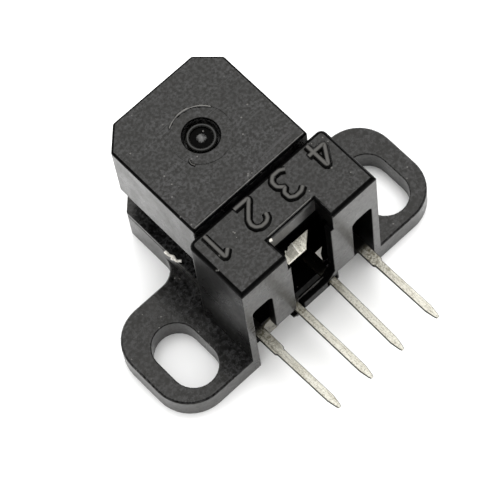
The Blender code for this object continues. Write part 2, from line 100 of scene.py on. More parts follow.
# Stage: floor, world, two lamps high over the part, and a leaning ring of black cards around it
stageOf = {
    "floorSize": 6.0,
    "floorColour": (0.92, 0.92, 0.9154),
    "floorGlow": 0.0,
    "glowNear": 0.15,
    "glowFar": 0.8,
    "skyLight": 1.3,
    "lampAway": 0.62,
    "lampAzimuth": 135,
    "lampElevation": 72,
    "wideSize": 1.0,
    "widePower": 1.1,
    "shadowSize": 0.4,
    "shadowPower": 2.4,
    "cardCount": 48,
    "cardRadius": 0.5,
    "cardHeight": 1.1,
    "cardLean": (0.276, 0.406),
    "cardShade": 0.01,
}


def addNode(tree, kind, **values):
    node = tree.nodes.new(kind)
    for key, value in values.items():
        setattr(node, key, value)
    return node


# 1 for what the camera, a gloss or a clear piece sees
def seenDirectly(tree):
    path = addNode(tree, "ShaderNodeLightPath")
    total = path.outputs["Is Camera Ray"]
    for ray in ("Is Glossy Ray", "Is Transmission Ray"):
        add = addNode(tree, "ShaderNodeMath", operation="MAXIMUM")
        tree.links.new(total, add.inputs[0])
        tree.links.new(path.outputs[ray], add.inputs[1])
        total = add.outputs[0]
    return total


def makeWorld():
    world = bpy.data.worlds.new("paleStudio")
    bpy.context.scene.world = world
    world.use_nodes = True
    tree = world.node_tree
    tree.nodes.clear()
    soft = addNode(tree, "ShaderNodeBackground")
    soft.inputs["Strength"].default_value = stageOf["skyLight"]
    white = addNode(tree, "ShaderNodeBackground")
    white.inputs["Strength"].default_value = 1.0
    for node in (soft, white):
        node.inputs["Color"].default_value = (1, 1, 1, 1)
    mix = addNode(tree, "ShaderNodeMixShader")
    out = addNode(tree, "ShaderNodeOutputWorld")
    tree.links.new(seenDirectly(tree), mix.inputs[0])
    tree.links.new(soft.outputs[0], mix.inputs[1])
    tree.links.new(white.outputs[0], mix.inputs[2])
    tree.links.new(mix.outputs[0], out.inputs["Surface"])


# A pale floor that fades to plain white away from the part
def floorMaterial():
    material = bpy.data.materials.new("paleFloor")
    material.use_nodes = True
    tree = material.node_tree
    tree.nodes.clear()
    diffuse = addNode(tree, "ShaderNodeBsdfDiffuse")
    diffuse.inputs["Color"].default_value = (*stageOf["floorColour"], 1)
    glow = addNode(tree, "ShaderNodeEmission")
    glow.inputs["Color"].default_value = (1, 1, 1, 1)
    where = addNode(tree, "ShaderNodeTexCoord")
    length = addNode(tree, "ShaderNodeVectorMath", operation="LENGTH")
    spread = addNode(tree, "ShaderNodeMapRange")
    for name, value in (("From Min", stageOf["glowNear"]), ("From Max", stageOf["glowFar"]),
                        ("To Min", stageOf["floorGlow"]), ("To Max", 1.0)):
        spread.inputs[name].default_value = value
    both = addNode(tree, "ShaderNodeMath", operation="MULTIPLY")
    mix = addNode(tree, "ShaderNodeMixShader")
    out = addNode(tree, "ShaderNodeOutputMaterial")
    tree.links.new(where.outputs["Object"], length.inputs[0])
    tree.links.new(length.outputs["Value"], spread.inputs["Value"])
    tree.links.new(spread.outputs[0], both.inputs[0])
    tree.links.new(seenDirectly(tree), both.inputs[1])
    tree.links.new(both.outputs[0], mix.inputs[0])
    tree.links.new(diffuse.outputs[0], mix.inputs[1])
    tree.links.new(glow.outputs[0], mix.inputs[2])
    tree.links.new(mix.outputs[0], out.inputs["Surface"])
    return material


def makeFloor():
    half = stageOf["floorSize"] / 2
    corners = [(-half, -half, 0), (half, -half, 0), (half, half, 0), (-half, half, 0)]
    mesh = bpy.data.meshes.new("floor")
    mesh.from_pydata(corners, [], [(0, 1, 2, 3)])
    mesh.materials.append(floorMaterial())
    floor = bpy.data.objects.new("floor", mesh)
    bpy.context.scene.collection.objects.link(floor)


# Black cards that only the gloss sees, open where flat tops look: they blacken round edges
def makeCards():
    material = bpy.data.materials.new("blackCard")
    material.use_nodes = True
    shade = stageOf["cardShade"]
    shader = material.node_tree.nodes["Principled BSDF"]
    shader.inputs["Base Color"].default_value = (shade, shade, shade, 1)
    shader.inputs["Roughness"].default_value = 1.0
    height = stageOf["cardHeight"]
    bm = bmesh.new()
    bmesh.ops.create_cone(bm, segments=stageOf["cardCount"], radius1=stageOf["cardRadius"],
                          radius2=stageOf["cardRadius"], depth=height, cap_ends=False)
    bmesh.ops.translate(bm, verts=bm.verts, vec=(0, 0, height / 2))
    for vert in bm.verts:
        vert.co.xy += Vector(stageOf["cardLean"]) * vert.co.z / height
    mesh = bpy.data.meshes.new("cards")
    bm.to_mesh(mesh)
    bm.free()
    mesh.materials.append(material)
    cards = bpy.data.objects.new("cards", mesh)
    bpy.context.scene.collection.objects.link(cards)
    cards.visible_camera = False
    cards.visible_shadow = False
    cards.visible_diffuse = False


def makeLamp(name, size, power, inGloss):
    lamp = bpy.data.lights.new(name, "AREA")
    lamp.shape = "DISK"
    lamp.size = size
    lamp.energy = power
    holder = bpy.data.objects.new(name, lamp)
    holder.visible_glossy = inGloss
    away = skyward(stageOf["lampAzimuth"], stageOf["lampElevation"])
    holder.location = away * stageOf["lampAway"]
    holder.rotation_euler = away.to_track_quat("Z", "Y").to_euler()
    bpy.context.scene.collection.objects.link(holder)


placeCamera()
makeWorld()
makeFloor()
makeCards()
makeLamp("wideSoftbox", stageOf["wideSize"], stageOf["widePower"], True)
makeLamp("shadowLamp", stageOf["shadowSize"], stageOf["shadowPower"], False)
bpy.context.scene.view_settings.view_transform = "Standard"
print("camera and stage placed")


# Patterns that more than one material uses, as shader groups. A detail is a noise's detail and
# roughness, and a range runs from where a pattern starts to show to where it is full
patternOf = {
    "cloudScale": 700.0,
    "cloudDetail": (4.0, 0.62),
    "grainScale": 5200.0,
    "grainDetail": (3.0, 0.6),
    "lineScale": 260.0,
    "lineAmount": 0.5,
    "lineTurns": ((12, 26), (68, 34), (141, 30)),  # degrees, and how many times narrower than long
    "lineDetail": (1.0, 0.4),
    "lineRange": (0.66, 0.74),
    "breakScale": 420.0,
    "breakRange": (0.5, 0.62),
    "speckScale": 2600.0,
    "speckSize": 0.16,
    "patchScale": 900.0,
    "patchRange": (0.55, 0.6),
}


def shaderGroup(name, numbers, outputs):
    tree = bpy.data.node_groups.new(name, "ShaderNodeTree")
    for label, value in numbers:
        socket = tree.interface.new_socket(name=label, in_out="INPUT", socket_type="NodeSocketFloat")
        socket.default_value = value
    for label in outputs:
        tree.interface.new_socket(name=label, in_out="OUTPUT", socket_type="NodeSocketFloat")
    return tree, addNode(tree, "NodeGroupInput"), addNode(tree, "NodeGroupOutput")


# A number or a link, whichever is given
def feed(tree, value, socket):
    if isinstance(value, (int, float)):
        socket.default_value = value
    else:
        tree.links.new(value, socket)


def ramp(tree, source, low, high, toLow=0.0, toHigh=1.0):
    node = addNode(tree, "ShaderNodeMapRange")
    node.interpolation_type = "SMOOTHSTEP"
    for name, value in (("From Min", low), ("From Max", high), ("To Min", toLow), ("To Max", toHigh)):
        feed(tree, value, node.inputs[name])
    tree.links.new(source, node.inputs["Value"])
    return node.outputs[0]


def calc(tree, operation, a, b=0.0):
    node = addNode(tree, "ShaderNodeMath", operation=operation)
    feed(tree, a, node.inputs[0])
    feed(tree, b, node.inputs[1])
    return node.outputs[0]


def onObject(tree):
    return addNode(tree, "ShaderNodeTexCoord").outputs["Object"]


def noiseOf(tree, vector, scale, detail=2.0, roughness=0.5):
    node = addNode(tree, "ShaderNodeTexNoise")
    tree.links.new(vector, node.inputs["Vector"])
    feed(tree, scale, node.inputs["Scale"])
    node.inputs["Detail"].default_value = detail
    node.inputs["Roughness"].default_value = roughness
    return node.outputs["Fac"]


def stretched(tree, vector, scale, turn=0):
    node = addNode(tree, "ShaderNodeMapping")
    node.inputs["Scale"].default_value = scale
    node.inputs["Rotation"].default_value = (0, 0, math.radians(turn))
    tree.links.new(vector, node.inputs["Vector"])
    return node.outputs["Vector"]


def makeMottle():
    tree, inside, out = shaderGroup("mouldMottle", (("Cloud Scale", patternOf["cloudScale"]),
                                                    ("Grain Scale", patternOf["grainScale"])),
                                    ("Cloud", "Grain"))
    where = onObject(tree)
    cloud = noiseOf(tree, where, inside.outputs["Cloud Scale"], *patternOf["cloudDetail"])
    grain = noiseOf(tree, where, inside.outputs["Grain Scale"], *patternOf["grainDetail"])
    tree.links.new(cloud, out.inputs["Cloud"])
    tree.links.new(grain, out.inputs["Grain"])
    return tree


# Fine rub lines in three directions, broken up so that none runs far
def makeHairlines():
    tree, inside, out = shaderGroup("hairlines", (("Length Scale", patternOf["lineScale"]),
                                                  ("Amount", patternOf["lineAmount"])), ("Mask",))
    where = onObject(tree)
    total = 0.0
    for turn, narrow in patternOf["lineTurns"]:
        thin = stretched(tree, where, (1, narrow, 1), turn)
        thread = noiseOf(tree, thin, inside.outputs["Length Scale"], *patternOf["lineDetail"])
        even = stretched(tree, where, (1, 1, 1), turn)
        breaks = noiseOf(tree, even, patternOf["breakScale"], detail=1.0)
        one = calc(tree, "MULTIPLY", ramp(tree, thread, *patternOf["lineRange"]),
                   ramp(tree, breaks, *patternOf["breakRange"]))
        total = calc(tree, "MAXIMUM", one, total)
    tree.links.new(calc(tree, "MULTIPLY", total, inside.outputs["Amount"]), out.inputs["Mask"])
    return tree


# Round specks that come in patches
def makeSpecks():
    tree, inside, out = shaderGroup("specks", (("Scale", patternOf["speckScale"]),
                                               ("Size", patternOf["speckSize"])), ("Mask",))
    where = onObject(tree)
    cells = addNode(tree, "ShaderNodeTexVoronoi")
    tree.links.new(where, cells.inputs["Vector"])
    tree.links.new(inside.outputs["Scale"], cells.inputs["Scale"])
    dot = calc(tree, "LESS_THAN", cells.outputs["Distance"], inside.outputs["Size"])
    some = ramp(tree, noiseOf(tree, where, patternOf["patchScale"], detail=1.0), *patternOf["patchRange"])
    tree.links.new(calc(tree, "MULTIPLY", dot, some), out.inputs["Mask"])
    return tree


def placeGroup(tree, group, **values):
    node = addNode(tree, "ShaderNodeGroup")
    node.node_tree = group
    for name, value in values.items():
        node.inputs[name.replace("_", " ")].default_value = value
    return node


mottleGroup = makeMottle()
hairlineGroup = makeHairlines()
speckGroup = makeSpecks()


def newMaterial(name, **plain):
    material = bpy.data.materials.new(name)
    material.use_nodes = True
    shader = material.node_tree.nodes["Principled BSDF"]
    for key, value in plain.items():
        shader.inputs[key.replace("_", " ")].default_value = value
    return material, material.node_tree, shader


def blendColour(tree, factor, first, second):
    node = addNode(tree, "ShaderNodeMix", data_type="RGBA")
    tree.links.new(factor, node.inputs["Factor"])
    for socket, value in ((node.inputs[6], first), (node.inputs[7], second)):
        if isinstance(value, tuple):
            socket.default_value = (*value, 1)
        else:
            tree.links.new(value, socket)
    return node.outputs[2]


def bumpFrom(tree, shader, height, strength, distance):
    node = addNode(tree, "ShaderNodeBump")
    node.inputs["Strength"].default_value = strength
    node.inputs["Distance"].default_value = distance
    tree.links.new(height, node.inputs["Height"])
    tree.links.new(node.outputs["Normal"], shader.inputs["Normal"])


# How squarely the surface faces along an axis, either way
def facing(tree, axis):
    parts = addNode(tree, "ShaderNodeSeparateXYZ")
    tree.links.new(addNode(tree, "ShaderNodeNewGeometry").outputs["Normal"], parts.inputs[0])
    return calc(tree, "ABSOLUTE", parts.outputs[axis])


# How far the surface lies flat: 1 on top and underneath, 0 on the sides
def flatness(tree, low, high):
    return ramp(tree, facing(tree, "Z"), low, high)


# The black moulding compound
plasticOf = {
    "colour": (0.001, 0.001, 0.001),
    "rubbed": (0.03, 0.03, 0.031),
    # Dust specks, also used for the painted highlight on crests
    "dust": (0.16, 0.155, 0.145),
    # Colour of the painted sheen: lighter streaks on upright faces
    "wall": (0.05, 0.049, 0.045),
    "sideRoughness": 0.32,
    "topRoughness": 0.2,
    "spread": 0.13,
    "spreadRange": (0.3, 0.72),
    "ior": 1.48,
    "tint": (1.0, 0.985, 0.94),
    "flatRange": (0.93, 0.998),
    "cloudRange": (0.32, 0.72),
    "grainRange": (0.36, 0.68),
    "speckSize": 0.13,
    "lineShare": 0.7,
    "speckShare": 0.5,
    "crestRange": (0.9, 0.99),
    "streakRange": (0.3, 0.76),
    "leanRange": (0.05, 0.3),
    "grainHeight": 0.5,
    "lineDepth": 0.25,
    "sideRelief": 0.2,
    "relief": 0.4,
    "grainDepth": 0.02 * mm,
}


def makePlastic(name, tone, rub, cloudScale=patternOf["cloudScale"], crestHighlight=0.0, shine=0.5, rough=0.0,
                wall=0.0):
    material, tree, shader = newMaterial(name, IOR=plasticOf["ior"], Specular_IOR_Level=shine,
                                         Specular_Tint=(*plasticOf["tint"], 1))
    mottle = placeGroup(tree, mottleGroup, Cloud_Scale=cloudScale, Grain_Scale=patternOf["grainScale"])
    lines = placeGroup(tree, hairlineGroup, Length_Scale=patternOf["lineScale"], Amount=rub)
    specks = placeGroup(tree, speckGroup, Scale=patternOf["speckScale"], Size=plasticOf["speckSize"])
    flat = flatness(tree, *plasticOf["flatRange"])
    cloudy = ramp(tree, mottle.outputs["Cloud"], *plasticOf["cloudRange"])
    grainy = ramp(tree, mottle.outputs["Grain"], *plasticOf["grainRange"])
    patches = calc(tree, "MULTIPLY", calc(tree, "ADD", calc(tree, "MULTIPLY", cloudy, grainy), grainy), tone)
    shade = blendColour(tree, patches, plasticOf["colour"], plasticOf["rubbed"])
    rubs = calc(tree, "MULTIPLY", lines.outputs["Mask"], plasticOf["lineShare"])
    shade = blendColour(tree, rubs, shade, plasticOf["rubbed"])
    dust = calc(tree, "MULTIPLY", specks.outputs["Mask"], plasticOf["speckShare"])
    shade = blendColour(tree, dust, shade, plasticOf["dust"])
    # Painted highlight: flat crests take the pale dust colour
    if crestHighlight:
        litCrest = calc(tree, "MULTIPLY", flatness(tree, *plasticOf["crestRange"]), crestHighlight)
        shade = blendColour(tree, litCrest, shade, plasticOf["dust"])
    # Painted sheen: random lighter streaks on upright faces
    if wall:
        cloudyWall = ramp(tree, mottle.outputs["Cloud"], *plasticOf["streakRange"])
        streaks = calc(tree, "MULTIPLY", cloudyWall, grainy)
        upright = calc(tree, "SUBTRACT", 1.0, flatness(tree, *plasticOf["leanRange"]))
        streaks = calc(tree, "MULTIPLY", calc(tree, "MULTIPLY", streaks, upright), wall)
        shade = blendColour(tree, streaks, shade, plasticOf["wall"])
    tree.links.new(shade, shader.inputs["Base Color"])

    gloss = calc(tree, "MULTIPLY_ADD", flat, plasticOf["topRoughness"] - plasticOf["sideRoughness"])
    gloss.node.inputs[2].default_value = plasticOf["sideRoughness"] + rough
    half = plasticOf["spread"] / 2
    uneven = ramp(tree, mottle.outputs["Cloud"], *plasticOf["spreadRange"], -half, half)
    tree.links.new(calc(tree, "ADD", gloss, uneven), shader.inputs["Roughness"])

    grainHeight = calc(tree, "MULTIPLY", mottle.outputs["Grain"], plasticOf["grainHeight"])
    relief = calc(tree, "ADD", grainHeight, mottle.outputs["Cloud"])
    scratches = calc(tree, "MULTIPLY", lines.outputs["Mask"], plasticOf["lineDepth"])
    relief = calc(tree, "SUBTRACT", relief, scratches)
    onTop = calc(tree, "MULTIPLY", flat, 1 - plasticOf["sideRelief"])
    relief = calc(tree, "MULTIPLY", relief, calc(tree, "ADD", onTop, plasticOf["sideRelief"]))
    bumpFrom(tree, shader, relief, plasticOf["relief"], plasticOf["grainDepth"])
    return material


# Tinned lead metal, with stained roots, dark sheared sides and painted shade inside the block, where its
# colour goes near black. A noise is its scale, detail and roughness
metalOf = {
    "metallic": 0.6,
    "colour": (0.56, 0.54, 0.46),
    "pale": (0.84, 0.82, 0.73),
    "stain": (0.17, 0.15, 0.095),
    "sheared": (0.02, 0.018, 0.012),
    # The near-black colour of the painted shade inside the block
    "inside": (0.008, 0.007, 0.006),
    "smooth": 0.26,
    "rough": 0.46,
    "glossRange": (0.3, 0.7),
    "drawn": (5, 1, 5),
    "streakNoise": (1200.0, 4.0, 0.65),
    "streakRange": (0.36, 0.66),
    "blotNoise": (2300.0, 4.0, 0.6),
    "blotRange": (0.58, 0.74),
    "blotShare": 0.5,
    "fineNoise": (11000.0, 2.0, 0.6),
    "fineRange": (0.52, 0.64),
    "fineShare": 0.6,
    "spotNoise": (5200.0, 3.0, 0.6),
    "spotRange": (0.47, 0.56),
    "spotShare": (0.1, 0.75),
    "rootLength": 0.35 * mm,
    "shadeFrom": 0.2 * mm,
    "shadeTo": 0.9 * mm,
    "shearedRange": (0.2, 0.5),
    "pitScale": 6000.0,
    "pitSize": 0.2,
    "pitDepth": 0.6,
    "fineHeight": 0.7,
    "relief": 0.6,
    "reliefDepth": 0.01 * mm,
    "stainedBack": 0.5 * mm,
    "stainedLength": 0.9 * mm,
    "brightAll": 1.0,  # a root this far ahead leaves a whole lead bright
    "darkAll": -1.0,  # and one this far behind leaves it dark
}


def makeLeadMetal(name, rootY, rootLength=metalOf["rootLength"], metallic=metalOf["metallic"]):
    material, tree, shader = newMaterial(name, Metallic=metallic)
    where = onObject(tree)
    streak = noiseOf(tree, stretched(tree, where, metalOf["drawn"]), *metalOf["streakNoise"])
    blot = noiseOf(tree, where, *metalOf["blotNoise"])
    fine = noiseOf(tree, where, *metalOf["fineNoise"])
    streaks = ramp(tree, streak, *metalOf["streakRange"])
    shade = blendColour(tree, streaks, metalOf["colour"], metalOf["pale"])
    blots = calc(tree, "MULTIPLY", ramp(tree, blot, *metalOf["blotRange"]), metalOf["blotShare"])
    grains = calc(tree, "MULTIPLY", ramp(tree, fine, *metalOf["fineRange"]), metalOf["fineShare"])
    shade = blendColour(tree, blots, shade, metalOf["stain"])
    shade = blendColour(tree, grains, shade, metalOf["stain"])

    split = addNode(tree, "ShaderNodeSeparateXYZ")
    tree.links.new(where, split.inputs[0])
    along = calc(tree, "ADD", split.outputs["Y"], calc(tree, "MULTIPLY", blot, rootLength))
    root = ramp(tree, along, rootY - 3 * rootLength, rootY + rootLength / 2)
    spots = noiseOf(tree, where, *metalOf["spotNoise"])
    spotted = ramp(tree, spots, *metalOf["spotRange"], *metalOf["spotShare"])
    shade = blendColour(tree, calc(tree, "MULTIPLY", root, spotted), shade, metalOf["stain"])
    # Painted shade: near black inside the block
    paintedInsideShade = ramp(tree, split.outputs["Y"], rootY + metalOf["shadeFrom"], rootY + metalOf["shadeTo"])
    shade = blendColour(tree, paintedInsideShade, shade, metalOf["inside"])
    across = facing(tree, "X")
    shade = blendColour(tree, ramp(tree, across, *metalOf["shearedRange"]), shade, metalOf["sheared"])
    tree.links.new(shade, shader.inputs["Base Color"])

    gloss = ramp(tree, streak, *metalOf["glossRange"], metalOf["smooth"], metalOf["rough"])
    tree.links.new(gloss, shader.inputs["Roughness"])
    pits = placeGroup(tree, speckGroup, Scale=metalOf["pitScale"], Size=metalOf["pitSize"])
    relief = calc(tree, "ADD", streak, calc(tree, "MULTIPLY", fine, metalOf["fineHeight"]))
    pitted = calc(tree, "MULTIPLY", pits.outputs["Mask"], metalOf["pitDepth"])
    relief = calc(tree, "SUBTRACT", relief, pitted)
    bumpFrom(tree, shader, relief, metalOf["relief"], metalOf["reliefDepth"])
    return material


# Moulded resin
resinOf = {
    "ior": 1.52,
    "cloudScale": 500.0,
    "grainScale": 6000.0,
    "range": (0.3, 0.7),
    "deeper": 0.8,
    "roughness": (0.1, 0.24),
    "relief": 0.2,
    "reliefDepth": 0.004 * mm,
}


def makeResin(name, colour, clear):
    material, tree, shader = newMaterial(name, IOR=resinOf["ior"], Transmission_Weight=clear, Metallic=0.0)
    mottle = placeGroup(tree, mottleGroup, Cloud_Scale=resinOf["cloudScale"],
                        Grain_Scale=resinOf["grainScale"])
    deeper = tuple(c * resinOf["deeper"] for c in colour)
    shade = blendColour(tree, ramp(tree, mottle.outputs["Cloud"], *resinOf["range"]), colour, deeper)
    tree.links.new(shade, shader.inputs["Base Color"])
    gloss = ramp(tree, mottle.outputs["Grain"], *resinOf["range"], *resinOf["roughness"])
    tree.links.new(gloss, shader.inputs["Roughness"])
    bumpFrom(tree, shader, mottle.outputs["Cloud"], resinOf["relief"], resinOf["reliefDepth"])
    return material


# Small bright or dull faces, clouded between two colours
twoToneOf = {
    "noise": (3500.0, 2.0),
    "range": (0.35, 0.65),
    "glossRange": (0.3, 0.7),
    "roughness": (0.14, 0.3),
}


def makeTwoTone(name, first, second, metallic):
    material, tree, shader = newMaterial(name, Metallic=metallic)
    tone = noiseOf(tree, onObject(tree), *twoToneOf["noise"])
    shade = blendColour(tree, ramp(tree, tone, *twoToneOf["range"]), first, second)
    tree.links.new(shade, shader.inputs["Base Color"])
    gloss = ramp(tree, tone, *twoToneOf["glossRange"], *twoToneOf["roughness"])
    tree.links.new(gloss, shader.inputs["Roughness"])
    return material


black = makePlastic("blackMoulding", tone=0.5, rub=0.55, wall=0.9)
armBlack = makePlastic("blackArm", tone=0.55, rub=1.0, cloudScale=900.0, wall=1.0)
# Painted shade: a dull black for the web's front and the block's left end
sideShadeBlack = makePlastic("paintedShadeSide", tone=0.2, rub=0.3, shine=0.06, wall=0.1)
# Painted shade: near-black plastic with almost no shine, for faces inside the chamber, the notch, the collar
# and the dish
innerShadeBlack = makePlastic("paintedShadeMoulding", tone=0.02, rub=0.0, shine=0.03, rough=0.15)
# Painted shade: a dark band on round edges and on the first strips of the notch rim
edgeShadeBlack = makePlastic("paintedShadeEdge", tone=0.02, rub=0.0, shine=0.06, rough=0.1)
# Painted highlight on the flat crests of the numbers and the nick
crestHighlightBlack = makePlastic("paintedCrestHighlight", tone=0.02, rub=0.3, cloudScale=900.0, crestHighlight=0.3)
# Pale grey for mould flash and burrs, and for the painted highlight ridges
burrAndHighlightGrey = makePlastic("flashAndHighlightGrey", tone=0.9, rub=0.9, cloudScale=1500.0, crestHighlight=0.6)
leadMetal = makeLeadMetal("tinnedLead", blockLow.y)
stainedMetal = makeLeadMetal("stainedLead", blockLow.y - metalOf["stainedBack"], metalOf["stainedLength"])
innerMetal = makeLeadMetal("innerLead", metalOf["brightAll"], metallic=0.2)
shadowedMetal = makeLeadMetal("shadowedLead", metalOf["darkAll"], metallic=1.0)
# Painted highlight for the lit bits of the inner leads
litMetal = makeTwoTone("litLead", (0.95, 0.93, 0.87), (0.8, 0.78, 0.71), 0.0)
# Painted shade for the part of the cathode lead left of the fold
shadedLeadTones = makeTwoTone("paintedShadeLead", (0.5, 0.48, 0.42), (0.3, 0.29, 0.25), 0.2)
# A dark olive colour for the first terminal's shoulder
darkOlivePlate = makeTwoTone("darkOlivePlate", (0.13, 0.12, 0.085), (0.06, 0.055, 0.04), 0.3)
clearResin = makeResin("clearResin", (0.9, 0.88, 0.8), clear=0.9)
smokedResin = makeResin("smokedResin", (0.012, 0.012, 0.011), clear=0.0)
silicon = makeTwoTone("siliconFace", (0.16, 0.17, 0.22), (0.10, 0.11, 0.15), 0.7)
diodeBlue = makeTwoTone("diodeFace", (0.05, 0.07, 0.16), (0.08, 0.09, 0.2), 0.3)
gold = makeTwoTone("goldWire", (0.95, 0.70, 0.28), (0.85, 0.58, 0.2), 1.0)
paleFlake = makeTwoTone("paleFlake", (0.8, 0.78, 0.72), (0.5, 0.48, 0.43), 0.0)
# Painted highlight on the dome of the boss
paintedDomeHighlight = makeTwoTone("paintedDomeHighlight", (0.1, 0.1, 0.098), (0.03, 0.03, 0.03), 0.0)
print("materials made")


# Shared mesh work
def placePiece(name, mesh, material):
    if material:
        mesh.materials.clear()
        mesh.materials.append(material)
    piece = bpy.data.objects.new(name, mesh)
    bpy.context.scene.collection.objects.link(piece)
    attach(piece, "root")
    return piece


# The node's solid as a clean mesh: doubles merged and flat triangles joined
def solidOf(node):
    bm = bmesh.new()
    bm.from_mesh(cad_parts[node].data)
    bmesh.ops.remove_doubles(bm, verts=bm.verts, dist=touch)
    bmesh.ops.dissolve_limit(bm, angle_limit=math.radians(1), verts=bm.verts, edges=bm.edges)
    return bm


# Rounds the outward edges that turn by more than sharpest; inward corners stay sharp
def softenEdges(bm, width, steps=2, sharpest=38, chosen=None, clamp=True):
    edges = []
    for edge in bm.edges:
        if len(edge.link_faces) != 2 or edge.calc_face_angle_signed(0) < math.radians(sharpest):
            continue
        if chosen is None or chosen(edge):
            edges.append(edge)
    bmesh.ops.bevel(bm, geom=edges, offset=width, segments=steps, profile=0.5, affect="EDGES",
                    clamp_overlap=clamp)


# Corner normals follow the widest face that lies close to their own face's direction, so a flat face
# stays flat up to its round edge
def cornerNormals(bm, sharpest):
    limit = math.cos(math.radians(sharpest))
    normals = {}
    weights = {face: (face.calc_area() / mm ** 2) ** 2 for face in bm.faces}
    for vert in bm.verts:
        for face in vert.link_faces:
            total = Vector()
            for other in vert.link_faces:
                if other.normal.dot(face.normal) > limit:
                    total += other.normal * weights[other]
            normals[(face.index, vert.index)] = total.normalized() if total.length > 0 else face.normal.copy()
    return normals


def finishMesh(bm, name, sharpest=50):
    bm.normal_update()
    bm.verts.index_update()
    bm.faces.index_update()
    source = bm.faces.layers.int.new("sourceFace")
    for face in bm.faces:
        face[source] = face.index
    normals = cornerNormals(bm, sharpest)
    bmesh.ops.triangulate(bm, faces=bm.faces, ngon_method="BEAUTY")
    corners = []
    for face in bm.faces:
        face.smooth = True
        for vert in face.verts:
            corners.append(normals.get((face[source], vert.index), face.normal))
    bm.faces.layers.int.remove(source)
    mesh = bpy.data.meshes.new(name)
    bm.to_mesh(mesh)
    bm.free()
    mesh.normals_split_custom_set(corners)
    return mesh


def dressNode(node, name, material, width, steps=2, sharpest=38):
    bm = solidOf(node)
    softenEdges(bm, width, steps, sharpest)
    piece = placePiece(name, finishMesh(bm, name), material)
    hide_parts(node)
    return piece


# Faces that a test picks get that test's material, the others the first one
def paintFaces(mesh, first, choices):
    mesh.materials.clear()
    mesh.materials.append(first)
    for material, test in choices:
        mesh.materials.append(material)
    for face in mesh.polygons:
        face.material_index = 0
        for i, (material, test) in enumerate(choices):
            if test(face.center, face.normal):
                face.material_index = i + 1
                break


# Mouldings. A facing is the part of a face's direction along an axis
mouldingOf = {
    "edgeRound": 0.07 * mm,
    "armRound": 0.07 * mm,
    "plateRound": 0.04 * mm,
    "stripFacing": (0.15, 0.97),
    "ringFloor": 0.03 * mm,
    "ringLip": 0.05 * mm,
    "ringDepth": 0.2 * mm,
    "ringInside": 1.4 * mm,
    "ringOutside": 2.2 * mm,
    "notchRound": 0.2 * mm,
    "notchSteps": 4,
    "notchHalf": 1.95 * mm,
    "notchDepth": 1.4 * mm,
    "rimFacing": (0.7, 0.995),
    "wallFacing": 0.7,
    "endFacing": 0.9,
    "chamberHalf": 4.5 * mm,
    "chamberFront": 0.7 * mm,
    "chamberTop": 9.52 * mm,
    "chamberMargin": 0.1 * mm,
    "wallLean": 0.25 * mm,
    "wallSkin": 0.03 * mm,
    "earStart": 5.6 * mm,
    "webHalf": 1.7 * mm,
    "webTop": 3.3 * mm,
}


# The strips of a round edge between a flat top and a wall, above the ears; they get a painted shade
def onRoundEdge(centre, normal):
    low, high = mouldingOf["stripFacing"]
    return low < normal.z < high and centre.z > plateHigh.z


def makeFrameMoulding():
    top = blockHigh.z
    rim = blockLow.y + mouldingOf["notchDepth"]
    skin = blockLow.y + mouldingOf["wallSkin"]

    def notchRim(edge):
        for vert in edge.verts:
            onTop = abs(vert.co.z - top) < touch and vert.co.y < rim + touch
            if not onTop or abs(vert.co.x) > mouldingOf["notchHalf"]:
                return False
        return True

    # The ends of the round rim on the back wall, too tight to be rounded again
    def atNotchMouth(vert):
        return (abs(vert.co.x) < mouldingOf["notchHalf"] and vert.co.y < blockLow.y + mouldingOf["wallLean"]
                and vert.co.z > top - mouldingOf["notchRound"] - touch)

    def outsideChamber(edge):
        margin = mouldingOf["chamberMargin"]
        if atNotchMouth(edge.verts[0]) and atNotchMouth(edge.verts[1]):
            return False
        for vert in edge.verts:
            x, y, z = vert.co
            if abs(x) > mouldingOf["chamberHalf"] + margin or z > mouldingOf["chamberTop"] + margin:
                return True
            if y < blockLow.y + 2 * margin or y > mouldingOf["chamberFront"]:
                return True
        return False

    def onNotchRim(centre, normal):
        return (abs(centre.x) < mouldingOf["notchHalf"] and centre.z > top - mouldingOf["notchRound"]
                and centre.y < rim + 2 * mouldingOf["notchRound"])

    # The first strips of the notch rim, which get a painted dark band
    def onRimTop(centre, normal):
        low, high = mouldingOf["rimFacing"]
        return onNotchRim(centre, normal) and low < normal.z < high

    # The web's front and, below, the block's left end get painted shade
    def onWeb(centre, normal):
        return (normal.y < -mouldingOf["wallFacing"] and abs(centre.x) < mouldingOf["webHalf"]
                and centre.z < mouldingOf["webTop"])

    # Faces inside the chamber and, below, inside the notch get painted shade
    def insideChamber(centre, normal):
        return (abs(centre.x) < mouldingOf["chamberHalf"] and skin < centre.y < mouldingOf["chamberFront"]
                and centre.z < mouldingOf["chamberTop"])

    def insideNotch(centre, normal):
        return (abs(centre.x) < mouldingOf["notchHalf"] and abs(normal.x) > mouldingOf["wallFacing"]
                and skin < centre.y < rim and centre.z < top)

    def leftOfBlock(centre, normal):
        return (normal.x < -mouldingOf["endFacing"]
                and mouldingOf["chamberHalf"] < -centre.x < mouldingOf["earStart"])

    bm = solidOf("mounting_frame")
    softenEdges(bm, mouldingOf["notchRound"], steps=mouldingOf["notchSteps"], chosen=notchRim, clamp=False)
    softenEdges(bm, mouldingOf["edgeRound"], chosen=outsideChamber, clamp=False)
    mesh = finishMesh(bm, "frameMoulding")
    paintFaces(mesh, black, ((innerShadeBlack, insideChamber), (innerShadeBlack, insideNotch), (edgeShadeBlack, onRimTop),
                             (black, onNotchRim), (edgeShadeBlack, onRoundEdge), (sideShadeBlack, onWeb),
                             (sideShadeBlack, leftOfBlock)))
    piece = placePiece("frameMoulding", mesh, None)
    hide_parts("mounting_frame")


